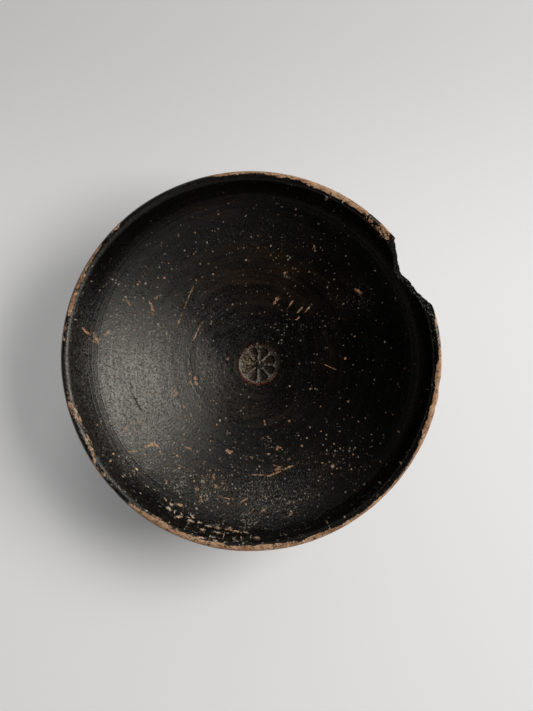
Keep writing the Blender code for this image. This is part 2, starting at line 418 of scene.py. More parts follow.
def between(value, low, high):   # 0 at low, 1 at high, smooth between
    share = np.clip((value - low) / (high - low), 0, 1)
    return share * share * (3 - 2 * share)


def bump(value, centre, width):
    return np.exp(-(((value - centre) / width) ** 2))


def around(degrees, centre):     # signed distance round the cup, in degrees
    return (degrees - centre + 180) % 360 - 180


def noiseAt(points, size, shift=0.0):
    places = points / size + shift
    return np.array([noise.noise(Vector(place)) for place in places])


def fromStamp(points):
    x, y = points[:, 0] - stamp["centre"][0], points[:, 1] - stamp["centre"][1]
    return x, y, np.hypot(x, y)


# What the potter's hands and the years did to the turned form
forming = {
    "rimPull": (                 # degrees round, width in degrees, millimetres outwards
        (150, 26, 0.35), (210, 26, -0.65), (345, 16, 0.35), (4, 12, 0.32),
    ),
    "rimWave": 0.35 * mm,
    "ringHeight": 0.055 * mm,
    "ringSize": 2.6 * mm,
    "ringTurns": 0.5,            # how much the rings change on their way round
    "wobble": 0.10 * mm,
    "wobbleSize": 17 * mm,
    "roughHeight": 0.022 * mm,
    "roughSize": 2.2 * mm,
}


def shapeCup(piece, outline):
    points = readPoints(piece)
    along, off = measureAlong(points, outline)
    crestAlong = crestPlace(outline)
    radius = np.hypot(points[:, 0], points[:, 1])
    degrees = np.degrees(np.arctan2(points[:, 1], points[:, 0]))
    inside = along < crestAlong

    # rings near the middle move over to the stamp's centre
    onFloor = inside & (radius < stamp["blend"])
    shift = np.where(onFloor, 1 - between(radius, 0.55 * stamp["reach"], stamp["blend"]), 0)
    centreX, centreY = stamp["centre"]
    points[:, 0] += centreX * shift
    points[:, 1] += centreY * shift
    radius = np.where(onFloor, np.hypot(points[:, 0], points[:, 1]), radius)
    points[:, 2] = np.where(onFloor, sphereHeight(radius), points[:, 2])

    # finger rings of the wheel, pushed along the normals
    normals = np.empty(len(points) * 3, np.float32)
    piece.data.vertices.foreach_get("normal", normals)
    normals = normals.reshape(-1, 3)
    direction = points[:, :2] / np.maximum(radius, 1e-6)[:, None]
    ringPlaces = np.column_stack([along / forming["ringSize"], direction * forming["ringTurns"]])
    rings = noiseAt(ringPlaces, 1) * forming["ringHeight"]
    wobble = noiseAt(points, forming["wobbleSize"]) * forming["wobble"]
    rough = noiseAt(points, forming["roughSize"], 3.7) * forming["roughHeight"]
    stampX, stampY, stampRadius = fromStamp(points)
    awayFromStamp = np.where(onFloor, between(stampRadius, stamp["radius"], stamp["reach"]), 1)
    onSurface = 1 - between(off, 0.03 * mm, 0.3 * mm)
    resting = between(points[:, 2], 0.0, 1.0 * mm)
    push = (rings + wobble + rough) * awayFromStamp * onSurface * resting
    circle = stamp["circleDepth"] * bump(radius, stamp["circleRadius"], stamp["circleWidth"])
    push -= np.where(inside, circle, 0)
    points += normals * push[:, None]

    points[:, 2] += np.where(onFloor, stampRelief(stampX, stampY, stampRadius), 0)

    # the rim was never quite round or level
    up = between(points[:, 2], cup["footHeight"] + 4 * mm, cup["height"])
    pull = sum(
        amount * bump(around(degrees, at), 0, width) for at, width, amount in forming["rimPull"]
    )
    stretch = 1 + pull * mm * up / cup["rimRadius"]
    points[:, 0] *= stretch
    points[:, 1] *= stretch
    turns = np.radians(degrees)
    wave = np.sin(2 * turns + 0.6) * 0.6 + np.sin(3 * turns + 2.0) * 0.4
    points[:, 2] -= (1 + wave) / 2 * forming["rimWave"] * up
    writePoints(piece, points)
    return along


def crestPlace(outline):         # distance along the outline to the top of the lip
    along = 0
    for here, there in zip(outline, outline[1:]):
        if there[1] < here[1] and here[1] > crestBaseZ:
            return along
        along += math.dist(here, there)
    return along


# Pressed petals between raised ribs, in a slightly sunken disc with a burr round it
def stampRelief(x, y, radius):
    turns = np.degrees(np.arctan2(y, x)) - stamp["turn"]
    pitch = 360 / stamp["petals"]
    fromPetal = np.radians((turns + pitch / 2) % pitch - pitch / 2)
    middle = (stamp["petalIn"] + stamp["petalOut"]) / 2
    half = (stamp["petalOut"] - stamp["petalIn"]) / 2
    lengthwise = (radius - middle) / half
    room = np.maximum(radius * math.sin(math.radians(pitch / 2)) - stamp["ribWidth"] / 2, 0.15 * mm)
    crosswise = radius * np.sin(fromPetal) / room
    petal = np.abs(lengthwise) ** 3.2 + np.abs(crosswise) ** 2.4
    sunk = between(1.12 - petal, 0, 0.75) * stamp["petalDepth"]
    disc = between(stamp["radius"] - radius, -0.1 * mm, 0.35 * mm) * stamp["discDepth"]
    burr = bump(radius, stamp["radius"] + 0.35 * mm, stamp["burrWidth"]) * stamp["burrHeight"]
    heart = bump(radius, 0, 0.9 * mm) * 0.15 * mm
    grain = noiseAt(np.column_stack([x, y, 0 * x]), 0.7 * mm) * 0.06 * mm
    inStamp = between(stamp["radius"] + 0.6 * mm - radius, 0, 0.6 * mm)
    return burr - disc - sunk + heart + grain * inStamp


print("cup: throwing the outline")
outline = cupOutline()
cupPiece = throwCup(outline)
# These stand in for the three materials, so that the cutters' faces keep a slot of their own
glossSlot, breakSlot, chipSlot = (
    bpy.data.materials.new(name) for name in ("gloss", "break", "chip")
)
cupPiece.data.materials.append(glossSlot)
print("cup: breaking the lip", len(cupPiece.data.polygons), "faces")
takeAway(cupPiece, breakCutter())
takeAway(cupPiece, chipCutter())
print("cup: shaping", len(cupPiece.data.polygons), "faces")
along = shapeCup(cupPiece, outline)
selectOnly(cupPiece)
bpy.ops.object.shade_smooth_by_angle(angle=math.radians(cup["smoothUnder"]))
triangles = sum(len(face.vertices) - 2 for face in cupPiece.data.polygons)
print("cup:", triangles, "triangles")


# Where the gloss has gone. Lip: degrees round, from and to in millimetres over its top
# (outwards positive), and how bare. Floor patches: middle, half width and half height in
# millimetres from the axis, and how strong. Rows of flecks: degrees round and their spread,
# distance from the axis and its spread in millimetres, and how strong.
wear = {
    "lip": (
        (0, -0.3, 6.0, 0.95), (5, -0.3, 5.0, 0.55), (10, -0.6, 4.0, 0.42), (15, 0.0, 4.0, 0.72),
        (20, 1.2, 4.0, 0.2), (35, 0.6, 4.0, 0.3), (39, 0.2, 4.0, 0.6), (41, 0.0, 4.0, 0.92),
        (45, -0.1, 4.0, 0.95), (46.4, 0.2, 4.0, 0.4), (48, -0.8, 0.3, 0.42), (50.6, -0.8, 0.2, 0.4),
        (51.8, -0.9, 1.6, 0.85), (53, -1.1, 4.0, 0.92), (55, -1.0, 4.0, 0.92),
        (60, -1.3, 4.0, 0.97), (65, -1.0, 3.8, 0.95), (70, -1.5, 3.8, 0.85), (75, -0.3, 3.6, 0.9),
        (80, -0.5, 3.6, 0.9), (85, -0.3, 3.6, 0.9), (90, 0.1, 3.4, 0.95), (95, -0.2, 3.2, 0.95),
        (100, -0.3, 2.6, 0.9), (105, 1.2, 2.2, 0.3), (112, 0.5, 1.5, 0.26), (122, 0.3, 1.5, 0.28),
        (130, 0.8, 2.0, 0.25), (135, -0.4, 0.6, 0.8), (140, 0.1, 0.7, 0.25), (145, -0.4, 1.6, 0.75),
        (150, -0.8, 1.0, 0.66), (154, -0.9, 1.0, 0.82), (156.8, -0.9, 1.0, 0.86),
        (157.9, -0.6, 0.5, 0.3), (159, -1.0, 0.9, 0.92), (165.2, -1.0, 0.6, 0.88),
        (166.8, -0.9, 0.3, 0.26), (169.2, -0.9, 0.4, 0.26), (170.4, -0.6, 0.9, 0.8),
        (171.8, -0.5, 0.9, 0.24), (173, -0.5, 1.0, 0.72), (174.6, -0.3, 1.2, 0.24),
        (180, 0.0, 1.0, 0.08), (185, -0.7, -0.1, 0.25), (190, -1.1, -0.1, 0.65),
        (195, -1.6, 0.8, 0.6), (200, -4.5, -0.5, 0.3), (205, -5.0, -0.7, 0.42),
        (210, -2.5, -0.7, 0.62), (215, 0.1, 1.6, 0.65), (220, -1.9, 0.5, 0.28),
        (225, -2.5, 1.0, 0.26), (229, -1.3, 1.4, 0.2), (231, -0.9, 3.0, 0.55),
        (233, -0.7, 5.0, 0.85), (240, -1.9, 6.0, 0.97), (245, -1.7, 8.0, 0.8),
        (250, -1.3, 8.0, 0.92), (255, -1.3, 8.0, 0.9), (260, -1.2, 8.0, 0.92),
        (265, -0.7, 8.0, 0.97), (270, -1.3, 8.0, 0.93), (275, -1.6, 8.0, 1.0),
        (280, -1.1, 8.0, 0.96), (285, -0.5, 8.0, 0.88), (290, -1.0, 8.0, 0.92),
        (295, -0.7, 8.0, 0.95), (300, -0.2, 8.0, 0.92), (305, -0.3, 8.0, 0.8),
        (310, 0.1, 8.0, 0.92), (315, 0.0, 8.0, 0.85), (320, 0.0, 8.0, 0.87), (325, 0.3, 8.0, 0.97),
        (330, 0.1, 8.0, 0.9), (335, -0.5, 8.0, 0.85), (340, -1.3, 8.0, 0.92),
        (345, -1.1, 8.0, 0.95), (350, -0.9, 8.0, 0.88), (355, -1.9, 8.0, 0.88),
    ),
    "lipFray": 0.9,              # how far the gloss breaks up into the bare lip, in millimetres
    "specks": (
        (-12, -48, 26, 12, 0.76), (-36, -38, 14, 12, 0.72), (22, -45, 18, 13, 0.44),
        (38, -8, 14, 25, 0.28), (-24, -12, 7, 14, 0.62), (-48, 14, 16, 14, 0.26),
        (-52, -24, 16, 10, 0.5), (0, 50, 46, 12, 0.22), (18, 20, 14, 8, 0.24),
        (44, 24, 10, 8, 0.34), (0, 0, 74, 74, 0.07), (52, -16, 14, 24, 0.24),
        (-40, 36, 20, 16, 0.18), (-16, 24, 12, 10, 0.15), (46, -46, 16, 12, 0.38),
    ),
    "rows": (
        (244, 12, 68.2, 2.4, 0.74), (261, 16, 71.0, 2.2, 0.76), (228, 12, 66.0, 4.0, 0.56),
        (285, 20, 71.0, 3.0, 0.52), (190, 25, 71.0, 3.0, 0.3), (205, 8, 71.6, 1.6, 0.72),
        (222, 14, 72.2, 1.6, 0.62), (60, 30, 71.5, 2.5, 0.45), (315, 25, 70.5, 3.0, 0.45),
        (12, 9, 73.0, 1.5, 0.6), (345, 14, 72.4, 1.6, 0.5), (150, 20, 72.0, 2.0, 0.35),
    ),
    "lime": (
        (10, -56, 18, 10, 0.84), (-24, -52, 24, 14, 0.86), (40, -42, 20, 16, 0.56),
        (-6, -66, 36, 6, 0.9), (-50, 8, 24, 30, 0.46), (-44, -36, 20, 18, 0.86),
        (10, 40, 50, 20, 0.28), (-24, 16, 12, 12, 0.56), (12, 16, 26, 14, 0.36),
        (-10, 0, 26, 22, 0.26), (0, 0, 74, 74, 0.16), (6, -36, 22, 10, 0.56),
    ),
    # A pale haze of fine scratches, and painted sheen in the patch left of the stamp
    "haze": (
        (6, -55, 13, 9, 0.9), (20, -50, 10, 9, 0.4), (-12, -54, 14, 9, 0.35), (44, 26, 6, 5, 0.22),
        (-8, 52, 30, 8, 0.1), (-19, -5, 7, 9, 0.6), (66, 27, 5, 9, 0.4),
    ),
    # A dull grime film that is partly painted sheen: pale colour laid on the lit left side of the
    # floor and lip wall where the gloss shines
    "film": (
        (-68, -2, 6, 40, 0.34), (-60, -36, 12, 14, 0.24), (-19, -5, 8, 10, 0.2),
        (-50, -6, 20, 26, 0.38), (-42, -34, 24, 16, 0.26), (0, -58, 30, 9, 0.2),
    ),
    "brown": (
        (4, 36, 26, 13, 0.9), (26, 30, 14, 12, 0.5), (0, -20, 22, 9, 0.55), (31, 2, 5, 9, 0.7),
        (28, -44, 14, 9, 0.45), (-8, 62, 20, 6, 0.4), (-20, -2, 6, 8, 0.35), (10, 24, 22, 6, 0.35),
    ),
    "outsideShares": {
        "speck": 0.30, "dash": 0.15, "lime": 0.25, "haze": 0.10, "film": 0.04, "brown": 0.15,
    },
    "outside": 0.22,             # how bare the gloss outside is
    "footEdge": 0.62,
    "footRing": 11 * mm,         # a ring and a dot of gloss under the foot
    "footRingEdge": (1.4 * mm, 2.2 * mm),
    "footDotEdge": (2.6 * mm, 3.4 * mm),
    "hollowWall": (23.6 * mm, 24.6 * mm),
    "hollowWallBare": 0.35,
}
# Each is painted on the points as an attribute of its name and Share
painted = (
    "bare", "floor", "flat", "speck", "dash", "lime", "haze", "film", "brown", "pit", "rib",
    "deposit", "red",
)


def patches(x, y, places):
    total = 0 * x
    for middleX, middleY, halfWidth, halfHeight, strength in places:
        away = ((x - middleX) / halfWidth) ** 2 + ((y - middleY) / halfHeight) ** 2
        total = np.maximum(total, strength * np.exp(-away))
    return total


def rows(degrees, radius, places):
    total = 0 * radius
    for middle, spread, reach, width, strength in places:
        away = (around(degrees, middle) / spread) ** 2 + ((radius / mm - reach) / width) ** 2
        total = np.maximum(total, strength * np.exp(-away))
    return total


def setAttribute(piece, name, values):
    attribute = piece.data.attributes.new(name, "FLOAT", "POINT")
    attribute.data.foreach_set("value", np.asarray(values, np.float32))


def paintWear(piece, outline, along):
    points = readPoints(piece)
    x, y, z = points[:, 0] / mm, points[:, 1] / mm, points[:, 2]
    radius = np.hypot(points[:, 0], points[:, 1])
    degrees = np.degrees(np.arctan2(y, x)) % 360
    over = (along - crestPlace(outline)) / mm
    inside = over < 0

    angles, starts, ends, barenesses = (np.array(column) for column in zip(*wear["lip"]))
    start, end, bare = (
        np.interp(degrees, angles, column, period=360) for column in (starts, ends, barenesses)
    )
    fade = np.clip(end * 0.4, 0.4, 3.0)
    lip = between(over, start - wear["lipFray"], start + wear["lipFray"])
    lip *= bare * (1 - between(over, end - fade, end + fade))
    underFoot = ~inside & (radius < cup["footRadius"] - 1.0 * mm) & (z < cup["footHeight"] + 3 * mm)
    resting = ~inside & (z < 0.8 * mm)
    footEdge = ~inside & (radius > cup["footRadius"] - 1.2 * mm) & (z < cup["footHeight"])
    outside = np.where(inside, 0, wear["outside"])
    outside = np.where(footEdge, wear["footEdge"], outside)
    ring = between(np.abs(radius - wear["footRing"]), *wear["footRingEdge"])
    dot = between(radius, *wear["footDotEdge"])
    hollowWall = between(radius, *wear["hollowWall"])
    hollow = ring * dot * (1 - hollowWall) + wear["hollowWallBare"] * hollowWall
    outside = np.where(underFoot, hollow, outside)
    outside = np.where(resting, 1.0, outside)
    setAttribute(piece, "bareShare", np.maximum(lip, outside))

    onInside = np.where(inside, 1, 0)
    setAttribute(piece, "floorShare", between(-over, 0.8, 1.6) * onInside)
    setAttribute(piece, "flatShare", between(ledgeRadius - radius, -0.5 * mm, 0.5 * mm) * onInside)
    shares = {name: patches(x, y, wear[name]) for name in ("lime", "haze", "film", "brown")}
    shares["speck"] = patches(x, y, wear["specks"])
    shares["dash"] = rows(degrees, radius, wear["rows"])
    for name, share in shares.items():
        share = np.where(inside, share, wear["outsideShares"][name])
        setAttribute(piece, name + "Share", share)
    setAttribute(piece, "along", along / mm)

    # the stamp keeps dirt in its cells, and its raised ribs are rubbed pale
    stampX, stampY, stampRadius = fromStamp(points)
    relief = stampRelief(stampX, stampY, stampRadius) / mm
    inStamp = between(stamp["radius"] + 0.3 * mm - stampRadius, 0, 0.5 * mm) * onInside
    heart = between(stampRadius, 1.6 * mm, 2.6 * mm)
    pits = between(-relief, 0.42, 0.85) * inStamp
    setAttribute(piece, "pitShare", pits)
    setAttribute(piece, "ribShare", (1 - between(-relief, 0.28, 0.50)) * inStamp * heart)
    leftCells = bump(stampX, -4.2 * mm, 3.0 * mm) * bump(stampY, 0.6 * mm, 4.2 * mm)
    setAttribute(piece, "depositShare", leftCells * inStamp)
    stampTurn = np.degrees(np.arctan2(stampY, stampX))
    redRing = bump(stampRadius, stamp["radius"] + 0.45 * mm, 0.60 * mm) * onInside
    redTurn = 0.22 + sum(
        strength * bump(around(stampTurn, at), 0, width) for at, width, strength in stamp["redArcs"]
    )
    setAttribute(piece, "redShare", redRing * np.minimum(redTurn, 1))


paintWear(cupPiece, outline, along)
print("cup: wear is painted")


def addNode(tree, kind, inputs=None, **settings):
    node = tree.nodes.new(kind)
    for name, value in settings.items():
        setattr(node, name, value)
    for socket, value in (inputs or {}).items():
        if isinstance(value, bpy.types.NodeSocket):
            tree.links.new(value, node.inputs[socket])
        else:
            node.inputs[socket].default_value = value
    return node


def calc(tree, operation, *values, clamp=False):
    node = addNode(tree, "ShaderNodeMath", dict(enumerate(values)), operation=operation)
    node.use_clamp = clamp
    return node.outputs[0]


def chained(tree, operation, first, *others):    # the operation over all values in turn
    for other in others:
        first = calc(tree, operation, first, other)
    return first


def times(tree, *values):
    return chained(tree, "MULTIPLY", *values)


def most(tree, *values):
    return chained(tree, "MAXIMUM", *values)


def timesPlus(tree, value, factor, added):
    return calc(tree, "MULTIPLY_ADD", value, factor, added)


def remainder(tree, share):          # what a share leaves of 1
    return calc(tree, "SUBTRACT", 1.0, share)


def blended(tree, share, first, second):
    return timesPlus(tree, share, second, times(tree, first, remainder(tree, share)))


def calcVector(tree, operation, *values):
    node = addNode(tree, "ShaderNodeVectorMath", dict(enumerate(values)), operation=operation)
    return node.outputs["Value" if operation in ("LENGTH", "DISTANCE") else "Vector"]


def moved(tree, vector, shift):
    return calcVector(tree, "ADD", vector, shift)


def flattened(tree, vector):
    return calcVector(tree, "MULTIPLY", vector, (1, 1, 0))


def scaled(tree, vector, factor):
    node = addNode(tree, "ShaderNodeVectorMath", {0: vector, "Scale": factor}, operation="SCALE")
    return node.outputs["Vector"]


def vectorOf(tree, x=0.0, y=0.0, z=0.0):
    return addNode(tree, "ShaderNodeCombineXYZ", {0: x, 1: y, 2: z}).outputs[0]


def partsOf(tree, vector):
    return addNode(tree, "ShaderNodeSeparateXYZ", {0: vector}).outputs


def rise(tree, value, low, high):    # 0 at low, 1 at high, smooth between
    inputs = {"Value": value, "From Min": low, "From Max": high}
    return addNode(tree, "ShaderNodeMapRange", inputs, interpolation_type="SMOOTHSTEP").outputs[0]


def mixed(tree, share, first, second):
    first, second = (
        (*colour, 1) if isinstance(colour, tuple) else colour for colour in (first, second)
    )
    inputs = {0: share, 6: first, 7: second}
    return addNode(tree, "ShaderNodeMix", inputs, data_type="RGBA").outputs[2]


def noiseOf(tree, vector, size, detail=3.0, roughness=0.55, output="Fac"):
    linked = isinstance(size, bpy.types.NodeSocket)
    scale = calc(tree, "DIVIDE", 1.0, size) if linked else 1 / size
    inputs = {"Vector": vector, "Scale": scale, "Detail": detail, "Roughness": roughness}
    return addNode(tree, "ShaderNodeTexNoise", inputs).outputs[output]


def torn(tree, vector, amount):      # a place pushed about, so that what is drawn there has torn edges
    push = noiseOf(tree, vector, 0.7, 3, 0.7, output="Color")
    push = calcVector(tree, "SUBTRACT", push, (0.5, 0.5, 0.5))
    return moved(tree, vector, scaled(tree, push, amount))


# Every group has a Place, and how many numbers an input holds tells its kind
def startGroup(name, results, **inputs):
    tree = bpy.data.node_groups.new(name, "ShaderNodeTree")
    for label, value in {"Place": (0, 0, 0), **inputs}.items():
        kind = {1: "Float", 3: "Vector", 4: "Color"}[np.size(value)]
        socket = tree.interface.new_socket(label, in_out="INPUT", socket_type="NodeSocket" + kind)
        socket.default_value = value
    for label, kind in results.items():
        tree.interface.new_socket(label, in_out="OUTPUT", socket_type="NodeSocket" + kind)
    return tree, tree.nodes.new("NodeGroupInput").outputs, tree.nodes.new("NodeGroupOutput").inputs


def place(tree, group, **inputs):    # a group with its values, ready for its outputs to be linked
    return addNode(tree, "ShaderNodeGroup", inputs, node_tree=group).outputs


def makeClayGrain():                 # fired clay: mottled, with small pits and pale grains
    tree, given, result = startGroup(
        "clayGrain", {"Colour": "Color", "Height": "Float"},
        Light=(0.72, 0.45, 0.26, 1), Dark=(0.38, 0.18, 0.085, 1),
    )
    clouds = noiseOf(tree, given["Place"], 4.0, 4)
    grains = noiseOf(tree, given["Place"], 0.55, 3, 0.7)
    share = calc(tree, "ADD", rise(tree, clouds, 0.30, 0.72), calc(tree, "SUBTRACT", grains, 0.5))
    colour = mixed(tree, share, given["Dark"], given["Light"])
    stains = rise(tree, noiseOf(tree, given["Place"], 1.1, 4, 0.75), 0.50, 0.66)
    colour = mixed(tree, times(tree, stains, 0.70), colour, (0.095, 0.046, 0.024))
    tree.links.new(colour, result["Colour"])
    tree.links.new(times(tree, grains, 0.14), result["Height"])
    return tree


def makeSpeckScatter():              # small losses: Share is how much of the surface's cells hold one
    tree, given, result = startGroup(
        "speckScatter", {"Mask": "Float"}, Size=2.0, Share=0.3, Largest=0.34
    )
    inputs = {
        "Vector": torn(tree, given["Place"], 1.5), "Scale": calc(tree, "DIVIDE", 1.0, given["Size"]),
    }
    cells = addNode(tree, "ShaderNodeTexVoronoi", inputs, voronoi_dimensions="2D")
    chance = addNode(tree, "ShaderNodeSeparateColor", {"Color": cells.outputs["Color"]}).outputs
    present = calc(tree, "GREATER_THAN", calc(tree, "SUBTRACT", given["Share"], chance[0]), 0.0)
    bigness = calc(tree, "POWER", chance[1], 2.2)
    reach = timesPlus(tree, bigness, given["Largest"], 0.10)
    gap = calc(tree, "SUBTRACT", reach, cells.outputs["Distance"])
    strength = timesPlus(tree, calc(tree, "POWER", chance[2], 1.3), 0.85, 0.15)
    mask = times(tree, rise(tree, gap, -0.03, 0.06), times(tree, present, strength))
    tree.links.new(mask, result["Mask"])
    return tree


def makeFlecks():                    # fine irregular flecks, thicker where Share is high
    tree, given, result = startGroup("flecks", {"Mask": "Float"}, Share=0.3, Size=1.2)
    grain = noiseOf(tree, given["Place"], given["Size"], 3.0, 0.70)
    level = timesPlus(tree, given["Share"], 0.26, grain)
    mask = times(tree, rise(tree, level, 0.765, 0.80), rise(tree, given["Share"], 0.0, 0.1))
    tree.links.new(mask, result["Mask"])
    return tree


def makeRaggedEdge():                # a share of bareness made into flaked patches with torn edges
    tree, given, result = startGroup("raggedEdge", {"Mask": "Float"}, Share=0.5, Size=1.6)
    flakes = noiseOf(tree, given["Place"], given["Size"], 5.0, 0.74)
    level = calc(tree, "ADD", timesPlus(tree, flakes, 2.1, -1.05), given["Share"])
    tree.links.new(rise(tree, level, 0.46, 0.54), result["Mask"])
    return tree


def makeWheelStreaks():              # fine rings that run round with the wheel
    tree, given, result = startGroup(
        "wheelStreaks", {"Value": "Float"}, Along=0.0, Size=1.0, Turns=2.0
    )
    outwards = calcVector(tree, "NORMALIZE", flattened(tree, given["Place"]))
    rung = vectorOf(tree, z=calc(tree, "DIVIDE", given["Along"], given["Size"]))
    streaks = noiseOf(tree, moved(tree, scaled(tree, outwards, given["Turns"]), rung), 1.0, 3, 0.6)
    tree.links.new(streaks, result["Value"])
    return tree


def makeScratchStroke():             # 0 at a stroke's middle, 1 at its edge
    tree, given, result = startGroup(
        "scratchStroke", {"Distance": "Float"},
        Centre=(0, 0, 0), Turn=0.0, HalfLength=1.0, HalfWidth=0.4,
    )
    offset = calcVector(tree, "SUBTRACT", given["Place"], given["Centre"])
    inputs = {"Vector": offset, "Angle": times(tree, given["Turn"], -1.0)}
    turned = addNode(tree, "ShaderNodeVectorRotate", inputs, rotation_type="Z_AXIS").outputs[0]
    half = vectorOf(tree, given["HalfLength"], given["HalfWidth"], 1.0)
    away = calcVector(tree, "LENGTH", calcVector(tree, "DIVIDE", turned, half))
    tree.links.new(away, result["Distance"])
    return tree


# Knocks and scratches in the floor: both ends in millimetres from the axis, and the width
strokes = (
    (0.5, -47.1, 7.8, -47.4, 0.42), (6.6, -47.9, 13.4, -45.2, 0.65), (9.6, -45.4, 12.6, -43.9, 1.2),
    (11.8, -45.6, 18.2, -43.0, 0.52), (8.8, -43.3, 10.6, -43.6, 0.4),
    (-4.9, -58.1, -1.0, -56.2, 0.62), (-33.7, -58.9, -32.0, -60.3, 0.5),
    (-33.0, -57.4, -31.7, -58.6, 0.8), (-35.3, -55.3, -34.4, -56.6, 0.45),
    (-29.6, -66.0, -28.2, -66.8, 0.8), (-10.9, -70.4, -10.6, -68.8, 0.3),
    (-9.4, -67.2, -7.6, -67.6, 0.7), (-30.6, -58.0, -27.6, -58.9, 1.0),
    (-30.3, -62.5, -27.8, -62.7, 0.9), (-38.6, -60.5, -34.4, -62.8, 0.45),
    (-27.5, -35.6, -25.2, -36.7, 0.75), (-67.7, 13.2, -66.7, 11.6, 0.95),
    (-67.1, 11.8, -65.4, 11.1, 0.8), (-64.3, 11.5, -62.3, 7.1, 0.95),
    (-64.4, 8.7, -63.3, 7.5, 0.55), (-60.3, 10.2, -58.4, 12.2, 0.75),
    (-58.9, 12.9, -58.0, 11.3, 0.6), (-42.3, 24.5, -41.0, 22.3, 0.6),
    (-41.7, 22.6, -40.7, 20.6, 1.0), (-41.3, 20.4, -40.8, 19.2, 0.7),
    (-51.5, 25.4, -50.2, 22.8, 0.55), (-24.2, 31.9, -26.9, 26.0, 0.3),
    (-27.0, 25.7, -28.7, 21.5, 0.24), (-30.2, 17.6, -31.0, 15.9, 0.72),
    (-29.0, 20.6, -30.1, 18.2, 0.25), (-20.9, 16.5, -23.2, 12.7, 0.48),
    (-22.7, 13.2, -24.9, 8.8, 0.48), (9.1, 23.9, 11.2, 27.2, 1.0), (15.7, 23.2, 17.3, 25.6, 0.6),
    (19.4, 20.8, 21.4, 22.8, 0.75), (22.2, 20.4, 24.5, 23.1, 0.6), (18.9, 17.7, 20.3, 18.8, 0.45),
    (-10.9, -37.3, -9.3, -37.6, 1.1), (-10.1, -38.3, -8.1, -38.0, 1.1),
    (-43.8, -35.5, -41.0, -34.4, 0.9), (-41.4, -33.7, -40.2, -35.2, 1.0),
    (-40.0, -34.0, -38.2, -35.6, 0.75), (10.2, -37.1, 11.4, -35.7, 1.0),
    (11.6, -35.9, 12.4, -36.4, 0.7), (6.6, -38.7, 7.6, -39.1, 0.9), (42.6, 29.9, 44.2, 28.9, 0.8),
    (43.8, 29.6, 45.6, 27.9, 0.9), (13.4, 37.4, 14.6, 36.8, 1.0), (25.8, 48.0, 26.4, 46.6, 0.7),
    (26.2, 46.3, 26.6, 45.4, 0.6), (-12.8, -55.8, -7.8, -56.8, 0.35), (4.1, -61.6, 6.6, -60.1, 0.6),
    (15.0, -63.1, 17.4, -60.8, 0.6), (31.0, -1.5, 35.4, -3.4, 0.35),
    (-24.4, -6.5, -23.3, -8.0, 1.0), (-24.0, -8.2, -23.2, -10.1, 1.0),
    (-26.2, -8.4, -25.2, -10.2, 0.8), (33.1, -42.9, 34.3, -43.3, 0.9),
    (-35.3, -48.5, -34.2, -50.5, 0.55), (-21.1, -55.1, -19.8, -58.2, 0.5),
    (-15.5, -50.6, -13.6, -52.4, 0.8), (-16.1, -47.1, -15.3, -48.7, 0.65),
    (-33.0, -11.9, -31.4, -14.0, 0.75), (-47.2, -43.5, -45.8, -44.6, 0.5),
    (-24.6, -61.9, -23.0, -63.4, 0.67), (-25.1, -64.0, -23.3, -64.6, 0.67),
    (-21.6, -64.9, -20.1, -65.2, 0.75), (-18.4, -66.1, -15.9, -66.7, 0.42),
    (-14.1, -67.0, -12.6, -67.3, 0.75), (-20.2, -67.2, -18.3, -67.6, 0.62),
    (-20.7, -69.2, -18.2, -69.7, 0.5), (-14.8, -68.3, -11.7, -68.9, 0.5),
    (-14.4, -70.4, -13.1, -70.7, 0.83), (-11.3, -71.7, -9.5, -71.1, 0.58),
    (-10.7, -67.5, -4.5, -68.7, 0.5), (-3.0, -68.7, -0.9, -68.9, 0.5),
    (1.3, -70.2, 3.5, -70.5, 0.55), (-49.8, -37.2, -47.0, -36.8, 0.58),
    (-52.1, -27.6, -50.6, -27.9, 0.92), (-40.3, 25.9, -38.9, 27.2, 0.58),
    (-33.5, -14.5, -31.6, -14.1, 0.5), (-28.9, -18.6, -28.4, -19.4, 0.58),
    (-69.1, -18.6, -68.3, -20.7, 0.83), (29.5, 64.8, 30.5, 64.2, 1.0),
    (-22.8, -52.2, -21.4, -53.0, 0.75), (5.0, -24.6, 5.5, -26.2, 0.5),
    (49.1, 52.8, 50.0, 52.9, 0.85), (50.5, 52.1, 51.3, 50.9, 0.75), (51.2, 49.8, 51.8, 50.3, 0.7),
    (52.2, 50.0, 52.7, 49.2, 0.7), (52.5, 48.9, 51.7, 48.8, 0.7), (51.2, 49.2, 51.1, 49.7, 0.6),
    (-62.3, -25.7, -61.8, -26.2, 0.75),
)
darkStrokes = (
    (-50.2, -8.9, -49.0, -12.0, 0.6), (-49.1, -14.2, -47.3, -17.6, 0.95),
    (-47.8, -16.8, -45.4, -20.6, 0.8),
)

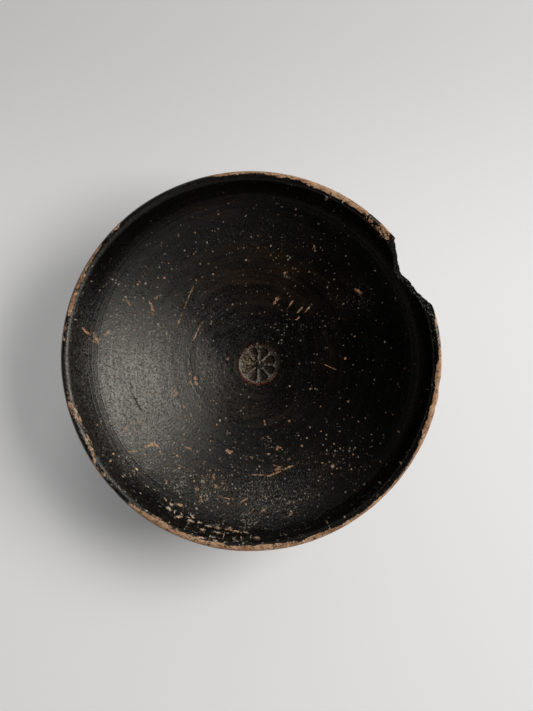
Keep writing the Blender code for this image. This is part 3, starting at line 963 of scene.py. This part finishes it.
# Single small losses and single lime spots: place and width in millimetres
lossDots = (
    (-55.6, -37.5, 0.67), (-53.6, -38.7, 0.54), (-56.3, -40.2, 0.79), (-37.7, -37.5, 0.71),
    (-48.1, -28.5, 0.67), (-29.8, -44.2, 0.92), (-30.8, -39.1, 0.67), (-22.6, -37.6, 0.67),
    (-28.2, -30.5, 0.67), (-17.1, -33.4, 0.58), (-9.5, -58.4, 0.79), (-23.6, -49.4, 0.71),
    (-14.7, -26.7, 0.67), (6.9, -31.7, 0.62), (-46.9, 31.6, 0.75), (-48.6, 13.0, 0.79),
    (-42.7, 18.2, 0.58), (-35.6, 11.6, 0.58), (-27.5, 5.2, 0.54), (-26.2, -5.3, 0.88),
    (-22.3, -14.4, 0.58), (-33.4, -11.2, 0.71), (-25.7, -22.2, 0.58), (-42.8, -13.6, 0.67),
    (-57.3, -6.3, 0.67), (-16.1, 36.5, 0.71), (-42.3, 24.2, 0.58), (24.1, 37.4, 0.54),
    (44.3, 29.1, 1.08), (50.7, 37.0, 0.54), (36.3, 62.5, 0.67), (41.9, 11.1, 0.54),
    (43.1, 10.4, 0.62), (66.4, -1.2, 0.54), (50.9, -7.7, 0.62), (70.2, -11.4, 0.5),
    (40.3, -16.9, 0.75), (44.3, -25.0, 0.62), (29.0, -29.3, 0.62), (31.3, -30.7, 0.58),
    (34.3, -34.3, 0.58), (49.3, -30.2, 0.58), (59.8, -28.7, 0.83), (41.8, -38.4, 0.62),
    (29.3, -42.1, 0.67), (35.2, -44.2, 0.58), (33.0, -46.3, 0.58), (41.0, -44.3, 0.67),
    (51.2, -48.5, 0.67), (36.9, -61.3, 0.67), (59.0, -40.2, 0.71), (27.0, -59.0, 0.54),
    (30.3, -64.0, 0.58), (-30.8, -61.1, 0.5), (-32.0, -63.6, 0.42), (-16.0, -69.2, 0.5),
    (-3.8, -70.3, 0.5), (-4.0, -68.9, 0.42), (0.0, -70.3, 0.45),
)
limeDots = (
    (-52.4, -23.4, 0.67), (24.7, -11.6, 0.75), (24.5, -27.6, 0.67), (23.2, -32.1, 0.75),
    (33.4, -43.4, 1.33), (27.6, -49.2, 0.5), (45.7, -49.8, 0.75), (38.3, -53.2, 0.71),
    (54.6, -41.6, 0.5), (31.7, 30.9, 0.58), (33.3, 60.5, 0.5), (58.9, 25.7, 0.62),
    (44.4, 22.0, 0.5), (-69.3, 16.2, 0.45), (-61.3, 28.6, 0.45), (-63.5, 31.6, 0.38),
    (-39.1, 15.5, 0.75), (-40.9, 12.6, 0.58), (-13.4, -24.9, 0.83), (-10.9, -23.9, 0.58),
    (-18.1, -55.4, 0.67), (-22.3, -59.9, 0.67), (-13.7, -59.7, 0.62), (-6.6, -52.5, 0.67),
    (15.0, 43.9, 0.6), (16.0, 43.4, 0.5), (15.3, 42.4, 0.6),
)


def makeFloorScratches(name, scratchStroke, lines):
    tree, given, result = startGroup(name, {"Mask": "Float"})
    flat = flattened(tree, torn(tree, given["Place"], 1.2))
    distances = []
    for startX, startY, endX, endY, width in lines:
        stroke = place(
            tree, scratchStroke, Place=flat, Centre=((startX + endX) / 2, (startY + endY) / 2, 0),
            Turn=math.atan2(endY - startY, endX - startX),
            HalfLength=math.dist((startX, startY), (endX, endY)) / 2, HalfWidth=width / 2,
        )
        distances.append(stroke["Distance"])
    nearest = chained(tree, "MINIMUM", *distances)
    crumbs = noiseOf(tree, given["Place"], 0.75, 3, 0.75)
    ragged = timesPlus(tree, calc(tree, "SUBTRACT", crumbs, 0.5), 4.2, nearest)
    faint = rise(tree, noiseOf(tree, moved(tree, given["Place"], (9, 4, 0)), 0.9, 2), 0.36, 0.58)
    faint = timesPlus(tree, faint, 0.50, 0.50)
    tree.links.new(times(tree, rise(tree, ragged, 1.15, 0.70), faint), result["Mask"])
    return tree


def makeFloorDots(name, places):     # single dots, a little torn
    tree, given, result = startGroup(name, {"Mask": "Float"})
    flat = flattened(tree, torn(tree, given["Place"], 0.8))
    distances = []
    for x, y, width in places:
        away = calcVector(tree, "DISTANCE", flat, (x, y, 0))
        distances.append(calc(tree, "SUBTRACT", away, width / 2))
    nearest = chained(tree, "MINIMUM", *distances)
    tree.links.new(rise(tree, nearest, 0.10, -0.12), result["Mask"])
    return tree


clayGrain = makeClayGrain()
speckScatter = makeSpeckScatter()
flecks = makeFlecks()
raggedEdge = makeRaggedEdge()
wheelStreaks = makeWheelStreaks()
scratchStroke = makeScratchStroke()
floorScratches = makeFloorScratches("floorScratches", scratchStroke, strokes)
darkScratches = makeFloorScratches("darkScratches", scratchStroke, darkStrokes)
clayDots = makeFloorDots("clayDots", lossDots)
paleDots = makeFloorDots("paleDots", limeDots)

# The gloss and what lies on it: colours, and heights in millimetres
glaze = {
    "black": (0.0010, 0.0009, 0.0008),
    "brown": (0.016, 0.0070, 0.0028),
    "dust": (0.085, 0.074, 0.056),
    "dustShare": 0.07,
    # the film's pale colour is partly a painted sheen in the highlight
    "film": (0.17, 0.160, 0.140),
    # the haze's pale colour also paints sheen left of the stamp
    "haze": (0.35, 0.33, 0.29),
    "lime": (0.56, 0.49, 0.38),
    # pale clay of the dashes, partly painted light
    "paleClayAndLight": (0.80, 0.60, 0.42),
    "pit": (0.012, 0.0065, 0.0045),
    "rib": (0.21, 0.185, 0.145),
    "deposit": (0.30, 0.23, 0.14),
    "red": (0.15, 0.042, 0.020),
    "brokenDark": (0.0008, 0.0007, 0.0006),
    "brokenGrey": (0.150, 0.155, 0.140),
    "chipClay": (0.46, 0.26, 0.135, 1),
    "roughness": -0.19,          # before the unevenness is added to it
    "dullness": 0.52,            # added where clay, lime or dirt shows
    "streakHeight": 0.05,
    "leatherHeight": 0.11,
    "poreHeight": 0.03,
    "flakeDepth": 0.06,
    "lineHeight": 0.045,
    "lines": (66.6, 69.2, 71.2),     # turned lines beside the wall, millimetres along the floor
}


def newMaterial(name):               # with places in millimetres
    material = bpy.data.materials.new(name)
    material.use_nodes = True
    tree = material.node_tree
    shader = tree.nodes["Principled BSDF"]
    shader.inputs["Specular Tint"].default_value = (1.0, 0.96, 0.87, 1)
    coordinates = addNode(tree, "ShaderNodeTexCoord").outputs["Object"]
    return material, tree, shader, scaled(tree, coordinates, 1000)


def attributeOf(tree, name):
    return addNode(tree, "ShaderNodeAttribute", attribute_name=name).outputs["Fac"]


def addRelief(tree, shader, height):
    bumps = addNode(tree, "ShaderNodeBump", {"Height": height, "Strength": 1.0, "Distance": mm})
    tree.links.new(bumps.outputs[0], shader.inputs["Normal"])


def makeWornGloss():
    material, tree, shader, where = newMaterial("wornGloss")
    along = attributeOf(tree, "along")
    share = {name: attributeOf(tree, name + "Share") for name in painted}
    fineStreaks, broadStreaks, bands = (
        place(tree, wheelStreaks, Place=where, Along=along, Size=size, Turns=turns)["Value"]
        for size, turns in ((0.9, 2.5), (5.0, 1.2), (2.2, 1.0))
    )
    clouds = noiseOf(tree, where, 11.0, 4, 0.6)
    leather = noiseOf(tree, where, 0.80, 3, 0.6)
    pores = noiseOf(tree, where, 0.42, 2, 0.6)
    pocks = rise(tree, noiseOf(tree, moved(tree, where, (0, 19, 5)), 0.80, 2, 0.6), 0.51, 0.59)
    filmAndSheenArea = rise(tree, share["film"], 0.03, 0.16)
    pocks = times(tree, pocks, timesPlus(tree, filmAndSheenArea, 0.75, 0.25))

    # places on the floor, unrolled from the wall, round the lip, and round the wheel
    flat = flattened(tree, where)
    parts = partsOf(tree, where)
    turned = times(tree, calc(tree, "ARCTAN2", parts["Y"], parts["X"]), 55.0)
    inputs = {0: share["flat"], 4: vectorOf(tree, turned, along), 5: flat}
    spread = addNode(tree, "ShaderNodeMix", inputs, data_type="VECTOR").outputs[1]
    outwards = calcVector(tree, "NORMALIZE", flat)
    lipPlace = moved(tree, scaled(tree, outwards, 38), vectorOf(tree, z=along))
    fromAxis = times(tree, calcVector(tree, "LENGTH", flat), 1.2)
    wheelPlace = moved(tree, scaled(tree, outwards, 26), vectorOf(tree, z=fromAxis))

    def specksOf(amount, part, size, largest, shift):
        return place(
            tree, speckScatter, Place=moved(tree, spread, shift), Size=size,
            Share=times(tree, amount, part), Largest=largest,
        )["Mask"]

    def flecksOf(where, amount, size):
        return place(tree, flecks, Place=where, Share=amount, Size=size)["Mask"]

    def onFloor(group):
        return times(tree, place(tree, group, Place=where)["Mask"], share["floor"])

    # lost gloss
    bare = place(tree, raggedEdge, Place=lipPlace, Share=share["bare"], Size=1.7)["Mask"]
    remains = flecksOf(lipPlace, 0.86, 0.62)
    bare = times(tree, bare, timesPlus(tree, remains, -0.85, 1.0))
    patchy = times(tree, share["speck"], rise(tree, clouds, 0.38, 0.62))
    fine = flecksOf(where, patchy, 0.95)
    larger = specksOf(patchy, 0.40, 2.6, 0.11, (31, 17, 0))
    smaller = specksOf(patchy, 0.48, 1.3, 0.14, (11, 71, 0))
    dashes = flecksOf(wheelPlace, times(tree, share["dash"], 0.72), 1.3)
    flaked = most(tree, bare, fine, smaller, larger, dashes, onFloor(clayDots))
    clay = most(tree, flaked, onFloor(floorScratches))

    # pale lime spots, a haze of fine scratches, and grime; the haze and the grime are partly painted
    # sheen
    clusters = rise(tree, noiseOf(tree, moved(tree, where, (90, 40, 0)), 7.0, 3, 0.6), 0.47, 0.62)
    limeShare = times(tree, share["lime"], calc(tree, "ADD", clusters, 0.45))
    limeSpots = specksOf(limeShare, 0.66, 1.15, 0.22, (7, 53, 0))
    limeFlecks = flecksOf(moved(tree, where, (3, 29, 17)), times(tree, limeShare, 0.66), 0.8)
    paleDashes = flecksOf(moved(tree, wheelPlace, (5, 41, 3)), share["dash"], 1.0)
    strengths = ((limeSpots, 0.75), (limeFlecks, 0.55), (paleDashes, 0.75), (onFloor(paleDots), 0.7))
    lime = most(tree, *(times(tree, mask, strength) for mask, strength in strengths))
    stretched = calcVector(tree, "MULTIPLY", where, (1.0, 0.36, 0.36))
    haze = times(tree, rise(tree, noiseOf(tree, stretched, 0.36, 2, 0.6), 0.57, 0.68), share["haze"])
    # grime in the film patches, partly painted sheen: pale grain laid into the lit highlight
    grimeAndSheen = times(
        tree, share["film"], rise(tree, leather, 0.42, 0.60), timesPlus(tree, pocks, 0.9, 0.7)
    )

    # colour, one layer over the other
    crumbs = noiseOf(tree, where, 0.7, 3, 0.7)
    dust = times(tree, rise(tree, leather, 0.45, 0.80), rise(tree, broadStreaks, 0.30, 0.75))
    banded = timesPlus(tree, rise(tree, bands, 0.42, 0.60), 0.9, 0.5)
    ribs = times(tree, share["rib"], rise(tree, crumbs, 0.40, 0.60))
    deposit = times(tree, share["deposit"], rise(tree, crumbs, 0.48, 0.56))
    layers = {
        "brown": times(tree, share["brown"], rise(tree, clouds, 0.25, 0.65), banded),
        "dust": times(tree, dust, glaze["dustShare"]),
        "film": grimeAndSheen,
        "haze": haze,
        "red": times(tree, share["red"], rise(tree, leather, 0.38, 0.56)),
        "pit": share["pit"],
        "rib": ribs,
        "deposit": deposit,
        "lime": lime,
    }
    colour = glaze["black"]
    for name, layer in layers.items():
        colour = mixed(tree, layer, colour, glaze[name])
    bareClay = place(tree, clayGrain, Place=where)
    # The clay in the dashes is paler: partly pale clay, partly painted light on the shaded wall of the
    # lip
    paleAndLitShare = times(tree, rise(tree, share["dash"], 0.05, 0.50), 0.85, remainder(tree, bare))
    clayColour = mixed(tree, paleAndLitShare, bareClay["Colour"], glaze["paleClayAndLight"])
    dark = place(tree, darkScratches, Place=where)["Mask"]
    colour = mixed(tree, dark, mixed(tree, clay, colour, clayColour), glaze["black"])
    tree.links.new(colour, shader.inputs["Base Color"])

    # roughness
    rough = glaze["roughness"]
    for value, weight in (
        (clouds, 0.16), (leather, 0.38), (fineStreaks, 0.16), (bands, 0.26), (pocks, 0.30),
        (haze, 0.25), (ribs, 0.30),
    ):
        rough = timesPlus(tree, value, weight, rough)
    dull = most(tree, clay, dark, lime, deposit)
    rough = calc(tree, "MULTIPLY_ADD", dull, glaze["dullness"], rough, clamp=True)
    tree.links.new(rough, shader.inputs["Roughness"])

    # relief
    height = 0.0
    for value, weight in (
        (fineStreaks, glaze["streakHeight"]), (broadStreaks, glaze["streakHeight"] * 2),
        (leather, glaze["leatherHeight"]), (pores, glaze["poreHeight"]),
        (flaked, -glaze["flakeDepth"]),
    ):
        height = timesPlus(tree, value, weight, height)
    waver = timesPlus(tree, clouds, 1.2, along)
    for line in glaze["lines"]:
        offLine = calc(tree, "ABSOLUTE", calc(tree, "SUBTRACT", waver, line))
        height = timesPlus(tree, rise(tree, offLine, 0.45, 0.0), -glaze["lineHeight"], height)
    addRelief(tree, shader, timesPlus(tree, flaked, bareClay["Height"], height))
    return material


def makeBrokenClay():                # the old break, darkened like the gloss
    material, tree, shader, where = newMaterial("brokenClay")
    crumbs = noiseOf(tree, where, 0.75, 4, 0.75)
    clouds = noiseOf(tree, where, 3.5, 3)
    parts = partsOf(tree, where)
    steep = calc(tree, "DIVIDE", parts["Y"], parts["X"])     # grows on the way round the break
    worn = timesPlus(tree, rise(tree, steep, 0.70, 0.54), 0.82, 0.18)
    grey = times(tree, rise(tree, crumbs, 0.53, 0.62), worn)
    colour = mixed(tree, grey, glaze["brokenDark"], glaze["brokenGrey"])
    share = timesPlus(tree, rise(tree, steep, 0.82, 0.92), 0.34, 0.14)
    bare = place(tree, raggedEdge, Place=where, Share=share, Size=1.3)["Mask"]
    bareClay = place(tree, clayGrain, Place=where)
    colour = mixed(tree, bare, colour, bareClay["Colour"])
    tree.links.new(colour, shader.inputs["Base Color"])
    shader.inputs["Roughness"].default_value = 0.82
    shader.inputs["Specular IOR Level"].default_value = 0.12
    addRelief(tree, shader, timesPlus(tree, crumbs, 0.8, times(tree, clouds, 0.5)))
    return material


def makeChippedClay():
    material, tree, shader, where = newMaterial("chippedClay")
    bareClay = place(tree, clayGrain, Place=where, Light=glaze["chipClay"])
    tree.links.new(bareClay["Colour"], shader.inputs["Base Color"])
    shader.inputs["Roughness"].default_value = 0.85
    addRelief(tree, shader, bareClay["Height"])
    return material


for slot, material in enumerate((makeWornGloss(), makeBrokenClay(), makeChippedClay())):
    cupPiece.material_slots[slot].material = material
print("cup: gloss and clay are on")

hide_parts("kylix_cup")
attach(cupPiece, "root")

# Camera over the cup, nearly along its axis, as in the photograph of 533 x 711 pixels
view = {
    "pixelsHigh": 711,
    "focalPixels": 1019,
    "distance": 400 * mm,        # to the plane of the rim
    "aside": (6.25 * mm, 1.95 * mm),
    "lean": 1.0,                 # degrees off the axis, towards the picture's foot
    "sensor": 36,                # millimetres of the picture's long side
}


def placeCamera():
    data = bpy.data.cameras.new("camera")
    data.sensor_width = view["sensor"]
    data.lens = view["focalPixels"] / view["pixelsHigh"] * view["sensor"]
    data.clip_start = 0.01
    data.clip_end = 20
    camera = bpy.data.objects.new("camera", data)
    bpy.context.scene.collection.objects.link(camera)
    lean = math.radians(view["lean"])
    back = Vector((0, -math.sin(lean), math.cos(lean)))
    target = Vector((view["aside"][0], view["aside"][1], cup["height"]))
    camera.location = target + back * view["distance"]
    camera.rotation_euler = (lean, 0, 0)
    bpy.context.scene.camera = camera


# One broad window-like light from the right, and a dim room
studio = {
    "keyFromUp": 41,             # degrees from straight up
    "keyRound": 14,              # degrees round from +X
    "keyDistance": 1.05,
    "keySize": (0.59, 0.50),
    "keyPower": 7.6,
    "keyColour": (1.0, 0.985, 0.96),
    "side": 0.22,                # light from the room by direction
    "rightMore": 0.40,
    "backMore": 0.12,
    "darkest": 0.010,
    "sideUp": (0.12, 0.50),      # how far up it starts and is full
    "overhead": 0.014,
    "overheadUp": (0.62, 0.96),
    "low": 0.72,                 # near the horizon, less of it from the right
    "lowUp": (0.24, 0.04),
    "lowRight": (-0.1, 0.6),
    "lowRightLess": 0.6,
    "floorRadius": 3.0,
    "floorColour": (0.76, 0.76, 0.765, 1),
    "floorGlow": 0.085,          # painted fill light: the floor glows, and more of it towards the front
    "frontGlow": 0.17,
    "glowFrom": 0.17,
    "glowTo": 0.02,
    "shade": (-38 * mm, -52 * mm),   # and weakest under the cup's shaded side, a painted shadow
    "shadeReach": (16 * mm, 62 * mm),
    "shadeGlow": 0.50,
}


def placeKeyLight():
    data = bpy.data.lights.new("windowLight", "AREA")
    data.shape = "RECTANGLE"
    data.size, data.size_y = studio["keySize"]
    data.energy = studio["keyPower"]
    data.color = studio["keyColour"]
    light = bpy.data.objects.new("windowLight", data)
    bpy.context.scene.collection.objects.link(light)
    tilt = math.radians(studio["keyFromUp"])
    turn = math.radians(studio["keyRound"])
    towards = Vector((math.cos(turn), math.sin(turn), 0)) * math.sin(tilt)
    towards.z = math.cos(tilt)
    light.location = Vector((0, 0, cup["height"] / 2)) + towards * studio["keyDistance"]
    light.rotation_mode = "QUATERNION"
    light.rotation_quaternion = towards.to_track_quat("Z", "Y")


def paintRoom():
    world = bpy.data.worlds.new("room")
    bpy.context.scene.world = world
    world.use_nodes = True
    tree = world.node_tree
    towards = partsOf(tree, addNode(tree, "ShaderNodeTexCoord").outputs["Generated"])
    level = timesPlus(tree, towards["X"], studio["rightMore"], studio["side"])
    level = timesPlus(tree, towards["Y"], studio["backMore"], level)
    level = most(tree, level, studio["darkest"])
    level = times(tree, level, rise(tree, towards["Z"], *studio["sideUp"]))
    level = blended(tree, rise(tree, towards["Z"], *studio["overheadUp"]), level, studio["overhead"])
    fromRight = rise(tree, towards["X"], *studio["lowRight"])
    low = rise(tree, towards["Z"], *studio["lowUp"])
    low = times(tree, low, timesPlus(tree, fromRight, -studio["lowRightLess"], 1.0))
    level = blended(tree, low, level, studio["low"])
    tree.links.new(level, tree.nodes["Background"].inputs["Strength"])
    tree.nodes["Background"].inputs["Color"].default_value = (1, 1, 1, 1)


def layFloor():
    bpy.ops.object.select_all(action="DESELECT")
    bpy.ops.mesh.primitive_circle_add(vertices=96, radius=studio["floorRadius"], fill_type="NGON")
    floor = bpy.context.object
    floor.name = "paleFloor"
    paper = bpy.data.materials.new("palePaper")
    paper.use_nodes = True
    shader = paper.node_tree.nodes["Principled BSDF"]
    shader.inputs["Base Color"].default_value = studio["floorColour"]
    shader.inputs["Roughness"].default_value = 0.8
    shader.inputs["Emission Color"].default_value = (1, 0.99, 0.985, 1)
    tree = paper.node_tree
    across = addNode(tree, "ShaderNodeTexCoord").outputs["Object"]
    # The floor glows with painted fill light, stronger towards the front, and a painted shadow lies
    # where its glow is weakest by the cup
    front = rise(tree, partsOf(tree, across)["Y"], studio["glowFrom"], studio["glowTo"])
    glow = timesPlus(tree, front, studio["frontGlow"], studio["floorGlow"])
    away = calcVector(tree, "DISTANCE", across, (*studio["shade"], 0))
    unshaded = rise(tree, away, *studio["shadeReach"])
    unshaded = timesPlus(tree, unshaded, 1 - studio["shadeGlow"], studio["shadeGlow"])
    glow = times(tree, glow, unshaded)
    tree.links.new(glow, shader.inputs["Emission Strength"])
    floor.data.materials.append(paper)


placeCamera()
placeKeyLight()
paintRoom()
layFloor()
bpy.context.scene.view_settings.view_transform = "Standard"
print("studio: camera, light, room and floor are in place")
